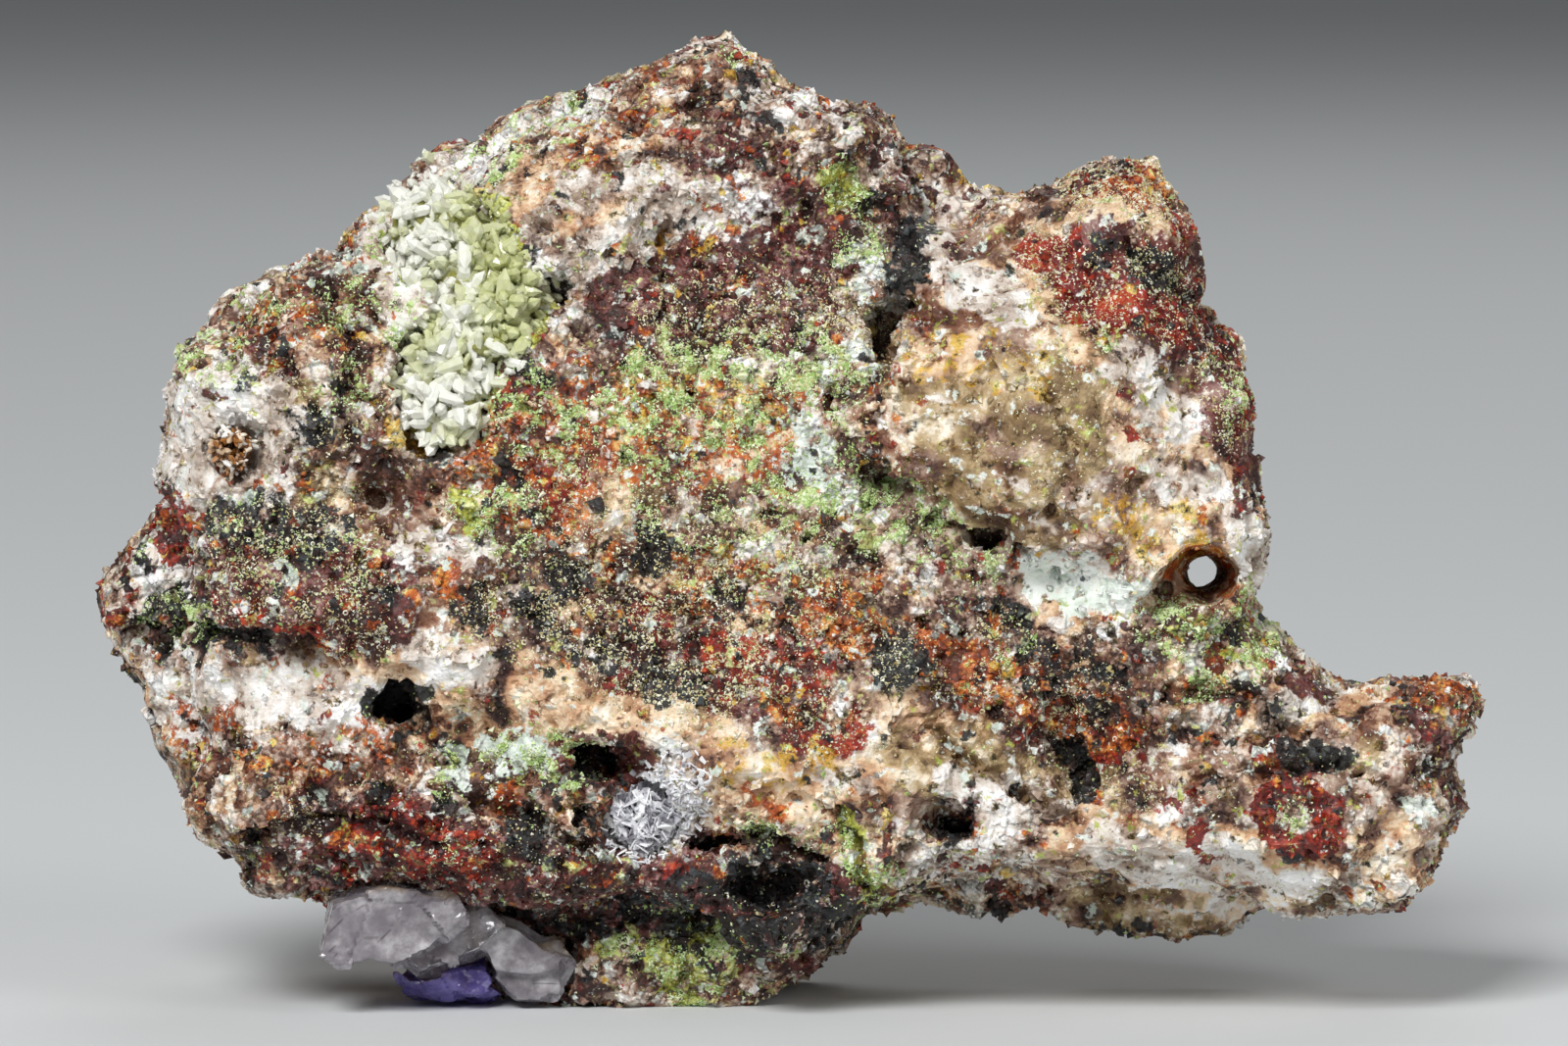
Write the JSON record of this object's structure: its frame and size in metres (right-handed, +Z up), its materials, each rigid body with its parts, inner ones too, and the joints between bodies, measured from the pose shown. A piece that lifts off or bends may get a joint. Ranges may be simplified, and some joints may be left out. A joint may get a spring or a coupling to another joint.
{
  "type": "creaseyite specimen",
  "caption": "Vuggy iron-stained quartz rock dusted with pale green creaseyite, with crystal crusts in its hollows and purple fluorite under it.",
  "frame": {"origin": "a point of the small flat spot on the underside that the specimen stands on", "axes": "+X to the right along the longest side as the best face is seen, -Y out of the best face, +Z up from the flat spot"},
  "size_m": [0.0563, 0.0253, 0.0388],
  "materials": {
    "matrix_rock": "rough broken rock with ochre, hematite stains and green dust",
    "pale_quartz": "glassy translucent crystals",
    "stained_quartz": "iron-stained glassy crystals",
    "white_blades": "matt white blades",
    "grey_quartz": "clear grey quartz with broken faces",
    "purple_fluorite": "clear purple fluorite"
  },
  "bodies": {
    "root": {"matrix_rock": "matrix_rock", "cleft_quartz": "pale_quartz", "star_vug_quartz": "stained_quartz", "white_blades": "white_blades", "under_quartz": "grey_quartz", "purple_fluorite": "purple_fluorite"}
  },
  "joints": []
}
